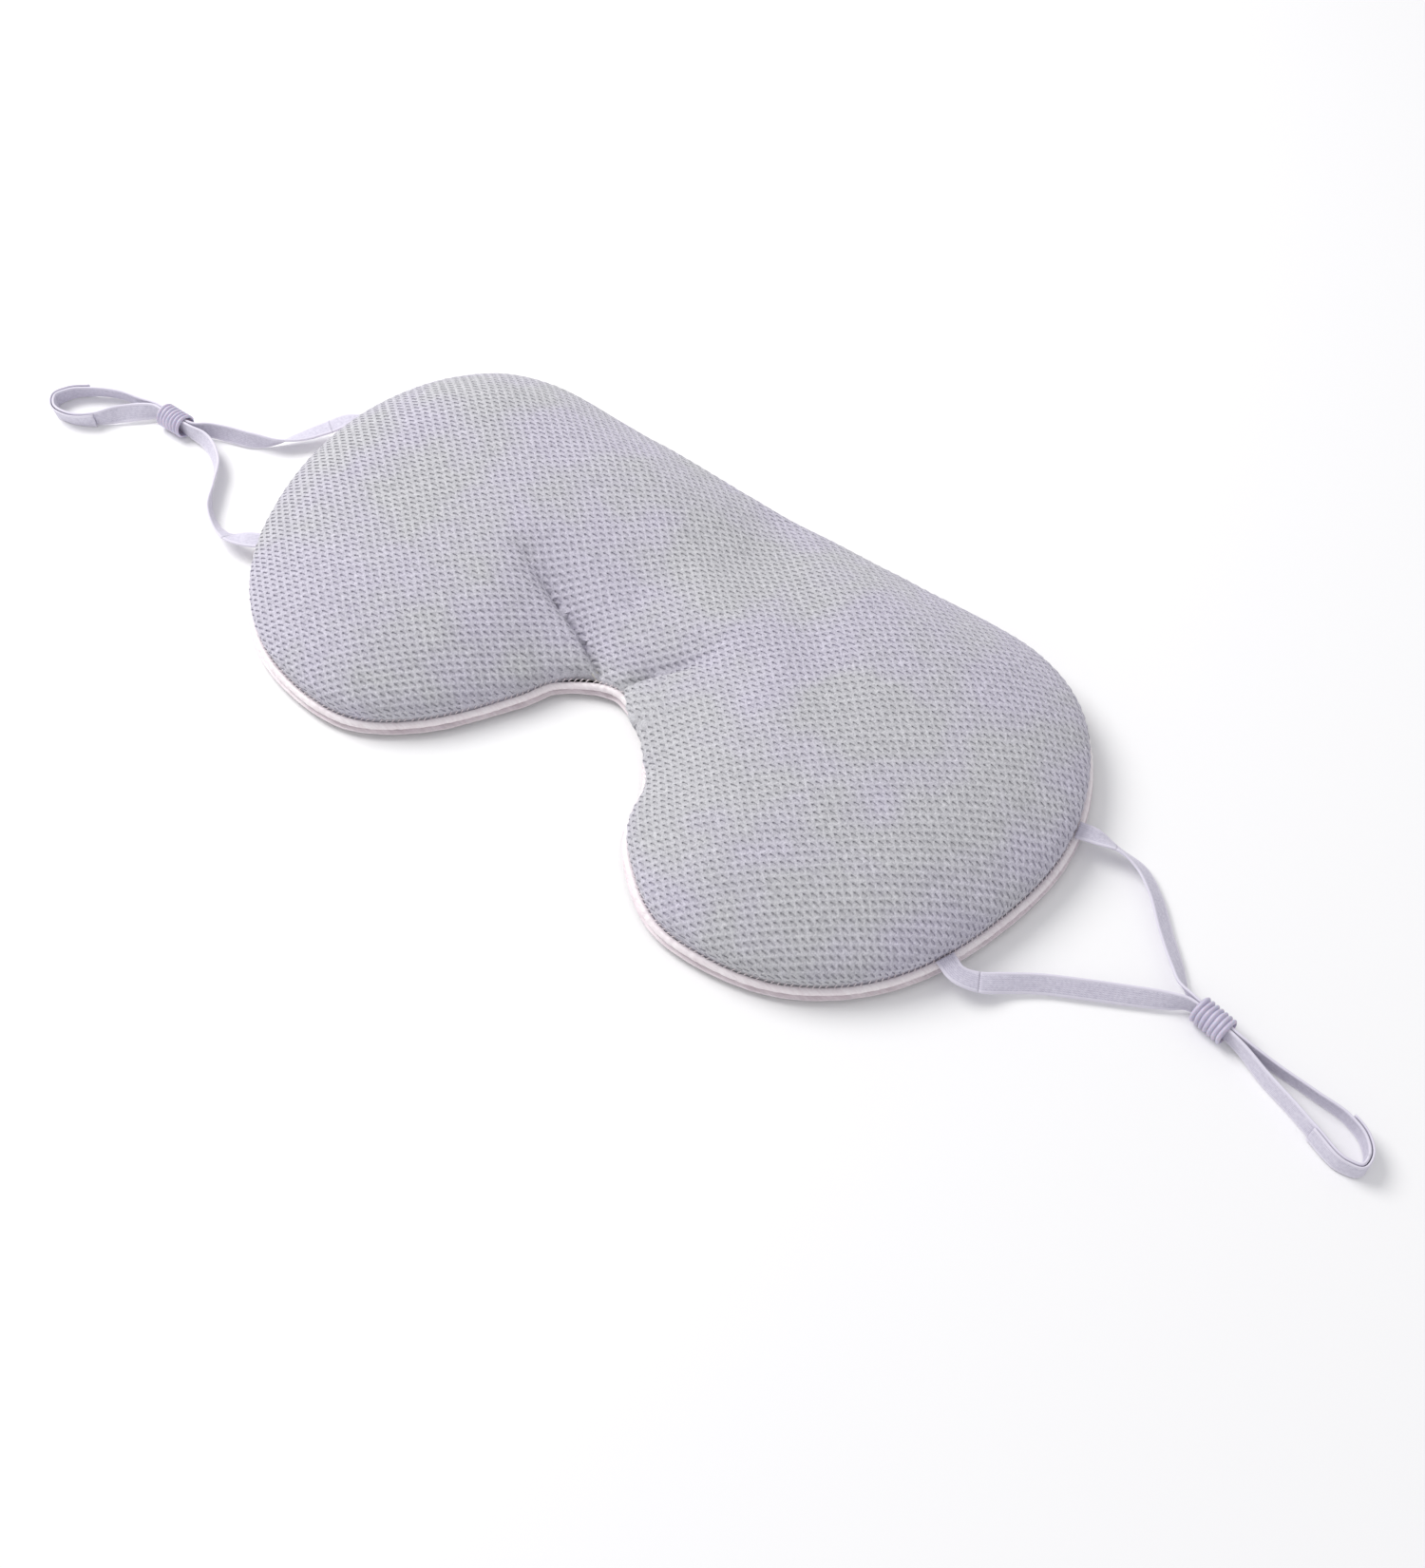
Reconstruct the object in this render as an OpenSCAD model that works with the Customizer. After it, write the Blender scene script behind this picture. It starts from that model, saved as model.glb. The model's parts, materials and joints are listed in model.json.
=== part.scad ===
// Padded sleep eye mask with two elastic ear loops and sliding stoppers.
// It lies on its lining with the mesh face up. +X is the long way, +Y the forehead edge, +Z up.
// The origin is under the middle of the mask, on the surface it lies on.

/* [Mask] */
// Length of the mask over its piping
mask_w = 216; // [200:1:230]
// Height of the mask from brow edge to cheek edge, over its piping
mask_h = 115; // [105:1:122]
// Height of the padding over each eye
lobe_height = 17; // [13:0.5:20]
// Height of the padding over the bridge of the nose
bridge_height = 14; // [10:0.5:17]

/* [Layers] */
// Thickness of the mesh face
mesh_t = 1; // [0.8:0.1:1.2]
// Thickness of the satin lining
lining_t = 0.4; // [0.3:0.1:0.5]
// Thickness of the blackout cloth
blackout_t = 0.3; // [0.2:0.1:0.4]

/* [Edge] */
// Thickness of the body at its seam
edge_t = 2.4; // [2.2:0.1:2.8]
// Height of the middle of the seam above the surface
edge_z = 3.2; // [2.8:0.1:4]
// Diameter of the satin piping
piping_d = 2.4; // [2:0.1:3]
// Diameter of the seam thread
thread_d = 0.5; // [0.4:0.1:0.6]

/* [Ear loops] */
// Width of the flat elastic
tape_w = 4.6; // [4:0.1:4.6]
// Thickness of the flat elastic
tape_t = 0.7; // [0.5:0.1:0.7]
// Length of a stopper
stopper_len = 8; // [7:0.5:9]
// Diameter of a stopper over its ribs
stopper_d = 6.1; // [5.9:0.1:6.4]
// Number of ribs on a stopper
rib_count = 7; // [5:1:9]

/* [Hidden] */

mesh_grey = [0.77, 0.77, 0.81];
foam_white = [0.93, 0.92, 0.88];
blackout_black = [0.12, 0.12, 0.13];
satin_cream = [0.93, 0.89, 0.89];
elastic_lilac = [0.85, 0.83, 0.89];
stopper_lilac = [0.79, 0.77, 0.85];

// Right half of the seam, from the middle of the brow round the side to the top of the
// nose notch. Each point is a share of the half width and of the half height.
half_shape = [
    [0, 0.99], [0.39, 1], [0.71, 0.97], [0.905, 0.71], [1, 0.17], [0.92, -0.51],
    [0.73, -0.905], [0.47, -1.005], [0.3, -0.83], [0.172, -0.49], [0.12, -0.31], [0, -0.195]
];
curve_steps = 16;
half_points = 48;
ring_points = 2 * half_points;
piping_r = piping_d / 2;
seam_half_w = mask_w / 2 - piping_d;
seam_half_h = mask_h / 2 - piping_d;

// Smooth curve between b and c, with a and d as its neighbours.
function curve(a, b, c, d, t) =
    0.5 * (2 * b + (c - a) * t + (2 * a - 5 * b + 4 * c - d) * t * t + (3 * b - a - 3 * c + d) * t * t * t);
function flip(p) = [-p.x, p.y];
last_shape = len(half_shape) - 1;
function shape_at(k) = k < 0 ? flip(half_shape[-k]) : k > last_shape ? flip(half_shape[2 * last_shape - k]) : half_shape[k];
fine_half = [
    for (k = [0 : last_shape - 1], j = [0 : curve_steps - 1])
        curve(shape_at(k - 1), shape_at(k), shape_at(k + 1), shape_at(k + 2), j / curve_steps),
    half_shape[last_shape]
];

// The fine curve is scaled to the seam's size and its points are spaced evenly.
fine_x = [for (p = fine_half) p.x];
fine_y = [for (p = fine_half) p.y];
y_middle = (max(fine_y) + min(fine_y)) / 2;
x_scale = seam_half_w / max(fine_x);
y_scale = 2 * seam_half_h / (max(fine_y) - min(fine_y));
sized_half = [for (p = fine_half) [p.x * x_scale, (p.y - y_middle) * y_scale]];
function running(list, k = 1, sum = 0, out = [0]) =
    k >= len(list) ? out
    : let (next = sum + norm(list[k] - list[k - 1])) running(list, k + 1, next, concat(out, [next]));
run = running(sized_half);
run_x = [for (k = [0 : len(run) - 1]) [run[k], sized_half[k].x]];
run_y = [for (k = [0 : len(run) - 1]) [run[k], sized_half[k].y]];
half_length = run[len(run) - 1];
half_seam = [
    for (i = [0 : half_points])
        let (s = half_length * i / half_points) [lookup(s, run_x), lookup(s, run_y)]
];
seam = [for (i = [0 : ring_points - 1]) i <= half_points ? half_seam[i] : flip(half_seam[ring_points - i])];

// Outward direction at each point of the seam.
function unit(v) = v / norm(v);
seam_out = [
    for (i = [0 : ring_points - 1])
        let (step = seam[(i + 1) % ring_points] - seam[(i + ring_points - 1) % ring_points])
            unit([-step.y, step.x])
];

// Ridge of the padding: a line across both lobes, higher up the face over the nose.
ridge_half = 56;
ridge_nose_y = 20;
ridge_lobe_y = 1;
ridge_bend = 26;
function tanh(v) = (exp(2 * v) - 1) / (exp(2 * v) + 1);
function bump(x) = exp(-pow(x / ridge_bend, 2));
function ridge(i) =
    let (
        other = (i <= half_points ? half_points : 3 * half_points) - i,
        middle = (seam[i].x + seam[other % ring_points].x) / 2,
        x = ridge_half * tanh(middle / ridge_half)
    )
    [x, ridge_lobe_y + (ridge_nose_y - ridge_lobe_y) * bump(x)];
ridge_at = [for (i = [0 : ring_points - 1]) ridge(i)];

// Rings of the padded body, as shares of the way from the seam to the ridge.
ring_share = [0, 0.05, 0.12, 0.22, 0.36, 0.55, 0.78];
rings = len(ring_share);
under_share = 0.22;
fullness = 3.4;
roundness = 0.7;
function crown(i) = lobe_height - (lobe_height - bridge_height) * bump(ridge_at[i].x);
function rise(f) = pow(1 - pow(1 - f, fullness), roundness);
function under_z(f) = (edge_z - edge_t / 2) * pow(max(0, 1 - f / under_share), 2);
function top_z(f, i) = edge_z + edge_t / 2 + (crown(i) - edge_z - edge_t / 2) * rise(f);
function plan(f, i) = seam[i] + f * (ridge_at[i] - seam[i]);

// Heights of the faces between the layers, from the lining up to the mesh.
function face_z(level, f, i) =
    level == 0 ? under_z(f)
    : level == 1 ? under_z(f) + lining_t
    : level == 2 ? under_z(f) + lining_t + blackout_t
    : level == 3 ? top_z(f, i) - mesh_t
    : top_z(f, i);
function level_points(level) = [
    for (f = ring_share, i = [0 : ring_points - 1]) [plan(f, i).x, plan(f, i).y, face_z(level, f, i)]
];

// Triangles of one upper face, where first is the number of its first point.
function quad(a, b, c, d) = [[a, b, c], [a, c, d]];
function skin(first) = let (inner = first + (rings - 1) * ring_points, half = half_points) [
    for (r = [0 : rings - 2], i = [0 : ring_points - 1])
        let (a = first + r * ring_points, j = (i + 1) % ring_points)
            each quad(a + i, a + j, a + ring_points + j, a + ring_points + i),
    for (i = [0 : half / 2 - 2]) each quad(inner + i, inner + i + 1, inner + half - i - 1, inner + half - i),
    [inner + half / 2 - 1, inner + half / 2, inner + half / 2 + 1],
    for (i = [0 : half / 2 - 2])
        each quad(
            inner + ring_points - i - 1, inner + (ring_points - i) % ring_points,
            inner + half + i, inner + half + i + 1
        ),
    [inner + half * 3 / 2, inner + half * 3 / 2 + 1, inner + half * 3 / 2 - 1]
];
function turned(faces) = [for (t = faces) [t[2], t[1], t[0]]];

// One layer of the body, between two of the faces.
module layer(low, high) {
    up = rings * ring_points;
    rim = [
        for (i = [0 : ring_points - 1])
            let (j = (i + 1) % ring_points) each quad(up + i, i, j, up + j)
    ];
    polyhedron(concat(level_points(low), level_points(high)), concat(turned(skin(0)), skin(up), rim));
}

// A round cord that follows the seam, out from it and above its middle.
module seam_ring(r, out, up, sides) {
    points = [
        for (i = [0 : ring_points - 1], k = [0 : sides - 1])
            let (a = 360 * k / sides, d = out + r * cos(a))
                [seam[i].x + seam_out[i].x * d, seam[i].y + seam_out[i].y * d, edge_z + up + r * sin(a)]
    ];
    faces = [
        for (i = [0 : ring_points - 1], k = [0 : sides - 1])
            let (j = (i + 1) % ring_points, m = (k + 1) % sides)
                each quad(j * sides + k, j * sides + m, i * sides + m, i * sides + k)
    ];
    polyhedron(points, faces);
}

// Routes of the two ear loops, from the upper root through the stopper, round the tip and
// back to the lower root. Each point is x, y, z and the roll of the flat tape in degrees.
right_route = [
    [105, 19.2, 5, 0], [109, 20.2, 4.8, -5], [114.4, 21.2, 3.4, -30], [121, 20.4, 2.5, -45],
    [126.2, 16.8, 2.3, -50], [132.8, 9.8, 2.3, -50], [138.8, 3.8, 2.4, -58], [142.4, 0, 2.8, -75],
    [144.8, -1.6, 3, -88], [147, -2.2, 3.1, -90], [155, -3.8, 3.1, -90], [158, -4.3, 3, -90],
    [166, -4.9, 2.4, -85], [175.6, -5.6, 2.4, -85], [183.2, -6.4, 2.4, -88], [187.6, -8.6, 2.4, -90],
    [189.8, -11.8, 2.4, -90], [189.6, -14.6, 2.4, -88], [187.2, -15.4, 2.4, -85], [179.2, -13.2, 2.4, -80],
    [172.8, -10.8, 2.4, -80], [165.8, -8.4, 2.4, -80], [158, -5.4, 3, -88], [155, -4.6, 3.1, -90],
    [147, -3, 3.1, -90], [145, -3, 3, -85], [142, -4.4, 2.8, -65], [134.8, -8, 2.4, -45],
    [125.4, -13, 2.4, -42], [117.6, -17.4, 2.4, -42], [111.8, -21.8, 2.8, -35], [108, -25, 3.6, -15],
    [103.4, -26.8, 4.8, 0], [99.2, -25.2, 5, 0]
];
left_route = [
    [-105.6, 17.2, 5, 0], [-109.4, 15.6, 4.8, 5], [-113.4, 10.6, 3.6, 15], [-117.2, 5, 2.8, 30],
    [-120.8, 0.6, 2.4, 60], [-126.6, -3.2, 2.4, 105], [-133.4, -5.6, 2.5, 110], [-138.2, -7.8, 2.8, 100],
    [-140.8, -9.7, 3, 92], [-143, -10.2, 3.1, 90], [-151, -10.2, 3.1, 90], [-153.8, -10.3, 3, 90],
    [-158.6, -11, 2.6, 88], [-166, -12.2, 2.4, 85], [-172.8, -15.8, 2.4, 85], [-177, -20, 2.4, 90],
    [-178, -23.6, 2.4, 90], [-175.6, -25.8, 2.4, 88], [-170.6, -25.6, 2.4, 85], [-165.2, -22.4, 2.4, 84],
    [-160.4, -16.8, 2.5, 55], [-156.4, -13.2, 2.8, 60], [-153.8, -11.4, 3, 80], [-151, -11, 3.1, 90],
    [-143, -11, 3.1, 90], [-140.8, -11, 3, 85], [-136.8, -10.8, 2.8, 70], [-128.4, -14.4, 2.5, 65],
    [-122.6, -21.6, 2.4, 70], [-117.6, -27, 2.4, 100], [-112, -30, 2.6, 120], [-106.8, -31, 3.6, 150],
    [-102.2, -30, 4.8, 180], [-97.8, -27.8, 5, 180]
];
tip_point = 16;
strip_start = 14;
strip_end = 19;
strip_gap = 0.1;

// The ear loops stay on the mask's sides when its length changes.
side_shift = (mask_w - 216) / 2;
function moved(route) = [for (p = route) p + [side_shift * sign(p.x), 0, 0, 0]];

// Flat tape with small chamfers, swept along some points of a route. The offset moves it
// along its own face normal.
tape_chamfer = 0.2;
function tape_section(w, t) =
    let (x = w / 2, y = t / 2, c = min(tape_chamfer, t / 3))
        [[x, y - c], [x - c, y], [c - x, y], [-x, y - c], [-x, c - y], [c - x, -y], [x - c, -y], [x, c - y]];
function xyz(p) = [p.x, p.y, p.z];
function tape_ring(route, i, section, offset) =
    let (
        last = len(route) - 1,
        along = unit(xyz(route[min(i + 1, last)]) - xyz(route[max(i - 1, 0)])),
        across = unit(cross([0, 0, 1], along)),
        above = cross(along, across),
        roll = route[i][3],
        wide = across * cos(roll) + above * sin(roll),
        face = above * cos(roll) - across * sin(roll)
    )
    [for (s = section) xyz(route[i]) + wide * s.x + face * (s.y + offset)];
module tape(route, from, to, offset = 0) {
    section = tape_section(tape_w, tape_t);
    n = len(section);
    points = [for (i = [from : to]) each tape_ring(route, i, section, offset)];
    last = (to - from) * n;
    faces = [
        [for (k = [0 : n - 1]) k],
        for (i = [0 : to - from - 1], k = [0 : n - 1])
            let (m = (k + 1) % n) each quad(i * n + k, (i + 1) * n + k, (i + 1) * n + m, i * n + m),
        [for (k = [n - 1 : -1 : 0]) last + k]
    ];
    polyhedron(points, faces);
}

// Silicone sleeve with rounded ribs, along +X from its middle.
bore_r = 2.5;
rib_depth = 0.3;
stopper_z = 3.1;
right_stopper_at = [151, -3.4];
right_stopper_turn = atan2(-0.2, 1);
left_stopper_at = [-147, -10.6];
left_stopper_turn = 180;
profile_steps = 6;
module stopper(at, turn) {
    pitch = stopper_len / rib_count;
    ribs = [
        for (k = [0 : rib_count * profile_steps])
            let (u = k / profile_steps) [
                stopper_d / 2 - rib_depth * (1 - abs(sin(180 * u))),
                (u - rib_count / 2) * pitch
            ]
    ];
    outline = concat([[bore_r, -stopper_len / 2]], ribs, [[bore_r, stopper_len / 2]]);
    translate([at.x + side_shift * sign(at.x), at.y, stopper_z])
        rotate([0, 0, turn])
            rotate([0, 90, 0])
                rotate_extrude($fn = 48)
                    polygon(outline);
}

module front_mesh_panel() {
    color(mesh_grey)
        layer(3, 4);
}

module filling_pad() {
    color(foam_white)
        layer(2, 3);
}

module blackout_layer() {
    color(blackout_black)
        layer(1, 2);
}

module back_lining() {
    color(satin_cream)
        layer(0, 1);
}

// The piping is a strip of satin wrapped round a thin cord.
piping_core_r = piping_r - 0.35;
piping_sides = 10;
module piping_cover() {
    color(satin_cream)
        difference() {
            seam_ring(piping_r, piping_r, 0, piping_sides);
            seam_ring(piping_core_r, piping_r, 0, piping_sides);
        }
}

module piping_cord() {
    color(foam_white)
        seam_ring(piping_core_r, piping_r, 0, piping_sides);
}

// The thread lies in the groove between the mesh face and the piping.
thread_out = 0.3;
thread_up = 1.15;
thread_sides = 6;
module seam_thread() {
    color(satin_cream)
        seam_ring(thread_d / 2, thread_out, thread_up, thread_sides);
}

module right_upper_elastic() {
    color(elastic_lilac)
        tape(moved(right_route), 0, tip_point);
}

module right_lower_elastic() {
    color(elastic_lilac)
        tape(moved(right_route), tip_point, len(right_route) - 1);
}

module right_joining_strip() {
    color(elastic_lilac)
        tape(moved(right_route), strip_start, strip_end, tape_t + strip_gap);
}

module right_stopper() {
    color(stopper_lilac)
        stopper(right_stopper_at, right_stopper_turn);
}

module left_upper_elastic() {
    color(elastic_lilac)
        tape(moved(left_route), 0, tip_point);
}

module left_lower_elastic() {
    color(elastic_lilac)
        tape(moved(left_route), tip_point, len(left_route) - 1);
}

module left_joining_strip() {
    color(elastic_lilac)
        tape(moved(left_route), strip_start, strip_end, tape_t + strip_gap);
}

module left_stopper() {
    color(stopper_lilac)
        stopper(left_stopper_at, left_stopper_turn);
}

front_mesh_panel();
filling_pad();
blackout_layer();
back_lining();
piping_cover();
piping_cord();
seam_thread();
right_upper_elastic();
right_lower_elastic();
right_joining_strip();
right_stopper();
left_upper_elastic();
left_lower_elastic();
left_joining_strip();
left_stopper();
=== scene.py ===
import json
import math

import bpy
import numpy as np
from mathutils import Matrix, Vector, geometry
from mathutils.bvhtree import BVHTree


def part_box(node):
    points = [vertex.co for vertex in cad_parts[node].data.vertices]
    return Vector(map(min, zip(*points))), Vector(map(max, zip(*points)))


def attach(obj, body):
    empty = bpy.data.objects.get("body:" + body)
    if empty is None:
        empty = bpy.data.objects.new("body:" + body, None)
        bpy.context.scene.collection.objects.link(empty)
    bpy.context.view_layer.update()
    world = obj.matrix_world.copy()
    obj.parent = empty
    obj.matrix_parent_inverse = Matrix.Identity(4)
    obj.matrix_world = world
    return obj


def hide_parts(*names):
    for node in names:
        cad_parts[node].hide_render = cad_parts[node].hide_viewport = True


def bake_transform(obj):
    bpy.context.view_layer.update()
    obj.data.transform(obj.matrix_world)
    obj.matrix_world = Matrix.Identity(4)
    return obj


# Padded sleep eye mask on a pale floor. Shapes are worked out in millimetres in the part's frame and
# become metres when a mesh is made. +X is the long way, +Y the forehead edge, +Z up.
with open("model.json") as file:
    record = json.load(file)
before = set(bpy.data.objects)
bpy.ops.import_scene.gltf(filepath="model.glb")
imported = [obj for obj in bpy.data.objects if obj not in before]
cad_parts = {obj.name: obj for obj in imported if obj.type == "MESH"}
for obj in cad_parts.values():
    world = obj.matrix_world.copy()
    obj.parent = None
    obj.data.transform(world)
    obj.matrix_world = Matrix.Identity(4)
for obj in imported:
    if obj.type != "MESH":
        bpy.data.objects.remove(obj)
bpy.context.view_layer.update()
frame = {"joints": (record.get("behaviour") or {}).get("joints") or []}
MM = 0.001
rng = np.random.default_rng(11)


# ---- camera
def add_camera():
    data = bpy.data.cameras.new("camera")
    data.lens = 42.71
    data.sensor_width = 36
    camera = bpy.data.objects.new("camera", data)
    bpy.context.scene.collection.objects.link(camera)
    azimuth, elevation, distance = math.radians(37.0), math.radians(55.4), 0.4207
    back = Vector((
        math.sin(azimuth) * math.cos(elevation),
        -math.cos(azimuth) * math.cos(elevation),
        math.sin(elevation),
    ))
    target = Vector((0.0317, -0.0165, 0))
    camera.location = target + back * distance
    camera.rotation_mode = "QUATERNION"
    camera.rotation_quaternion = (-back).to_track_quat("-Z", "Y")
    bpy.context.scene.camera = camera


add_camera()


# ---- helpers
def unit(v):
    return v / np.maximum(np.linalg.norm(v, axis=-1, keepdims=True), 1e-12)


def step01(t):
    t = np.clip(t, 0, 1)
    return t * t * (3 - 2 * t)


def angles(count):
    return np.arange(count) / count * 2 * np.pi


def steps_of(line):
    return np.linalg.norm(np.diff(line, axis=0), axis=1)


def runs_of(line):
    """How far along a line each of its points lies."""
    return np.concatenate([[0], np.cumsum(steps_of(line))])


def add_mesh(name, points, faces, smooth=True, face_slots=None, values=None):
    """A mesh object from points in millimetres. values holds named attributes, one number a point."""
    mesh = bpy.data.meshes.new(name)
    faces = [tuple(int(k) for k in f) for f in faces]
    mesh.from_pydata((np.asarray(points, float) * MM).tolist(), [], faces)
    mesh.polygons.foreach_set("use_smooth", [smooth] * len(mesh.polygons))
    if face_slots is not None:
        mesh.polygons.foreach_set("material_index", np.asarray(face_slots, np.int32))
    for key, numbers in (values or {}).items():
        layer = mesh.attributes.new(key, "FLOAT", "POINT")
        layer.data.foreach_set("value", np.asarray(numbers, np.float32))
    mesh.update()
    made = bpy.data.objects.new(name, mesh)
    bpy.context.scene.collection.objects.link(made)
    return made


def evaluated(made):
    """Points in millimetres and faces of a mesh after its modifiers. The mesh itself is removed."""
    mesh = made.evaluated_get(bpy.context.evaluated_depsgraph_get()).to_mesh()
    points = np.array([v.co for v in mesh.vertices], float) / MM
    faces = [tuple(p.vertices) for p in mesh.polygons]
    made.to_mesh_clear()
    mesh = made.data
    bpy.data.objects.remove(made)
    bpy.data.meshes.remove(mesh)
    return points, faces


def subdivided(points, faces, levels):
    """Points and faces after Catmull-Clark subdivision. The same faces always give the same order."""
    made = add_mesh("work", points, faces)
    made.modifiers.new("smooth", "SUBSURF").levels = levels
    return evaluated(made)


def ring_links(count, first=0):
    """Pairs of neighbours round a closed ring of points."""
    return [(first + k, first + (k + 1) % count) for k in range(count)]


def net_faces(rings, sides, closed=True):
    """Faces from each ring of points to the next, and from the last to the first if closed."""
    faces = []
    for i in range(rings if closed else rings - 1):
        j = (i + 1) % rings
        for k, m in ring_links(sides):
            faces.append((i * sides + k, i * sides + m, j * sides + m, j * sides + k))
    return faces


def rod_faces(rings, sides):
    """Faces of a closed rod: the net round it and a cap at each end."""
    last = (rings - 1) * sides
    caps = [tuple(range(sides))[::-1], tuple(range(last, last + sides))]
    return caps[:1] + net_faces(rings, sides, closed=False) + caps[1:]


def triangles_of(faces):
    return np.array([(f[0], f[k], f[k + 1]) for f in faces for k in range(1, len(f) - 1)], int)


def edges_of(faces):
    t = triangles_of(faces)
    return np.unique(np.sort(np.concatenate([t[:, [0, 1]], t[:, [1, 2]], t[:, [2, 0]]]), axis=1), axis=0)


def point_normals(points, faces):
    """The direction out of the cloth at each point, on its upper side."""
    t = triangles_of(faces)
    n = np.cross(points[t[:, 1]] - points[t[:, 0]], points[t[:, 2]] - points[t[:, 0]])
    total = np.zeros_like(points)
    for k in range(3):
        for axis in range(3):
            total[:, axis] += np.bincount(t[:, k], n[:, axis], len(points))
    normals = unit(total)
    return -normals if normals[:, 2].mean() < 0 else normals


def open_loop(faces):
    """The numbers of the points round the open edge of a mesh, in order."""
    seen = {}
    for f in faces:
        for a, b in zip(f, f[1:] + f[:1]):
            if (b, a) in seen:
                del seen[(b, a)]
            else:
                seen[(a, b)] = True
    after = {a: b for a, b in seen}
    first = min(after)
    loop, k = [first], after[first]
    while k != first:
        loop.append(k)
        k = after[k]
    return loop


def signed_volume(made):
    made.data.calc_loop_triangles()
    co = np.array([v.co for v in made.data.vertices])
    t = np.array([k.vertices[:] for k in made.data.loop_triangles])
    return float((co[t[:, 0]] * np.cross(co[t[:, 1]], co[t[:, 2]])).sum())


def faced_out(made):
    """A closed mesh with its faces turned outward."""
    if signed_volume(made) < 0:
        made.data.flip_normals()
    return made


def faced_up(made):
    """A mesh whose first face, part of the top, is turned upward, and the others with it."""
    if made.data.polygons[0].normal.z < 0:
        made.data.flip_normals()
    return made


CHUNK = 2000


def nearest(points, line):
    """Distance in plan from each point to the nearest point of a line, and that point's number."""
    far, near = np.zeros(len(points)), np.zeros(len(points), int)
    for k in range(0, len(points), CHUNK):
        d = ((points[k : k + CHUNK, None, :2] - line[None]) ** 2).sum(2)
        near[k : k + CHUNK] = d.argmin(1)
        far[k : k + CHUNK] = np.sqrt(d.min(1))
    return far, near


def within(points, outline):
    """Which points lie inside a closed outline."""
    inside = np.zeros(len(points), bool)
    a, b = outline[None], np.roll(outline, -1, 0)[None]
    for k in range(0, len(points), CHUNK):
        x, y = points[k : k + CHUNK, 0, None], points[k : k + CHUNK, 1, None]
        spans = (a[..., 1] > y) != (b[..., 1] > y)
        with np.errstate(divide="ignore", invalid="ignore"):
            at = a[..., 0] + (y - a[..., 1]) * (b[..., 0] - a[..., 0]) / (b[..., 1] - a[..., 1])
        inside[k : k + CHUNK] = ((spans & (x < at)).sum(1) % 2) == 1
    return inside


def spots(points, places):
    """The sum of round soft spots at each point. places gives each spot's middle, width and height."""
    total = np.zeros(len(points))
    for middle, width, by in places:
        total += by * np.exp(-(((points - middle) ** 2).sum(1)) / width**2)
    return total


# ---- seam outline
# The right half of the cut outline, from the middle of the brow round to the middle of the nose gap,
# as shares of half the mask's length and half its height.
HALF_SHAPE = np.array([
    [0, 0.99], [0.39, 1], [0.71, 0.97], [0.905, 0.71], [1, 0.17], [0.92, -0.51],
    [0.73, -0.905], [0.47, -1.005], [0.3, -0.83], [0.172, -0.49], [0.12, -0.31], [0, -0.195],
])
panel_low, panel_high = (np.array(c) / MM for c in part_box("front_mesh_panel"))
SEAM_HALF = (panel_high - panel_low)[:2] / 2
piping_low, piping_high = (c.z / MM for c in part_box("piping_cover"))
PIPING_R = (piping_high - piping_low) / 2
EDGE_Z = (piping_high + piping_low) / 2
SEAM_TOP = EDGE_Z + 1.2
CURVE_STEPS = 60


def seam_line(count):
    """Evenly spaced seam points, clockwise from the middle of the brow, and their outward directions."""
    flip = np.array([-1, 1])
    shape = np.concatenate([HALF_SHAPE[1:2] * flip, HALF_SHAPE, HALF_SHAPE[-2:-1] * flip])
    t = np.linspace(0, 1, CURVE_STEPS, endpoint=False)[:, None]
    parts = []
    for a, b, c, d in zip(shape, shape[1:], shape[2:], shape[3:]):
        bend, twist = 2 * a - 5 * b + 4 * c - d, 3 * b - a - 3 * c + d
        parts.append(0.5 * (2 * b + (c - a) * t + bend * t**2 + twist * t**3))
    half = np.concatenate(parts + [HALF_SHAPE[-1:]])
    half[:, 1] -= (half[:, 1].max() + half[:, 1].min()) / 2
    half *= SEAM_HALF / half.max(0)
    whole = np.concatenate([half, (half * flip)[-2:0:-1], half[:1]])
    run = runs_of(whole)
    at = np.arange(count) * run[-1] / count
    line = np.stack([np.interp(at, run, whole[:, k]) for k in (0, 1)], axis=1)
    step = unit(np.roll(line, -1, 0) - np.roll(line, 1, 0))
    out = np.stack([-step[:, 1], step[:, 0]], axis=1)
    return line, out


# Places where the sewn edge is drawn in or let out: middle, width and outward move.
PULLS = [((22.3, -28.0), 9.0, -2.6), ((24.5, -41.0), 8.0, 0.4), ((-105, -8), 15.0, 1.1)]
SEAM_COUNT = 1320
base_seam, seam_out = seam_line(SEAM_COUNT)
seam = base_seam + seam_out * spots(base_seam, PULLS)[:, None]
SEAM_LENGTH = float(steps_of(seam).mean()) * SEAM_COUNT


def to_seam(points):
    """Distance from each point to the seam, and the number of the nearest seam point."""
    return nearest(points, seam)


# ---- padded face
REACH = 46.0
RISE_TOP, RISE_EDGE = 3.8, 0.66
LOBE_HEIGHT, NOSE_HEIGHT, NOSE_WIDTH = 17.0, 14.0, 26.0


def face_height(points, far):
    """Height of the padded face: a steep edge that rounds over to a nearly flat top, with slight waves."""
    x, y = points[:, 0], points[:, 1]
    rise = (1 - (1 - np.clip(far / REACH, 0, 1)) ** RISE_TOP) ** RISE_EDGE
    crown = LOBE_HEIGHT - (LOBE_HEIGHT - NOSE_HEIGHT) * np.exp(-((x / NOSE_WIDTH) ** 2))
    crown = crown + 0.45 * np.sin(x / 17 + 0.6) * np.cos(y / 15 - 0.3) + 0.3 * np.sin(x / 9.5 + y / 12)
    return SEAM_TOP + (crown - SEAM_TOP) * rise


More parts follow.
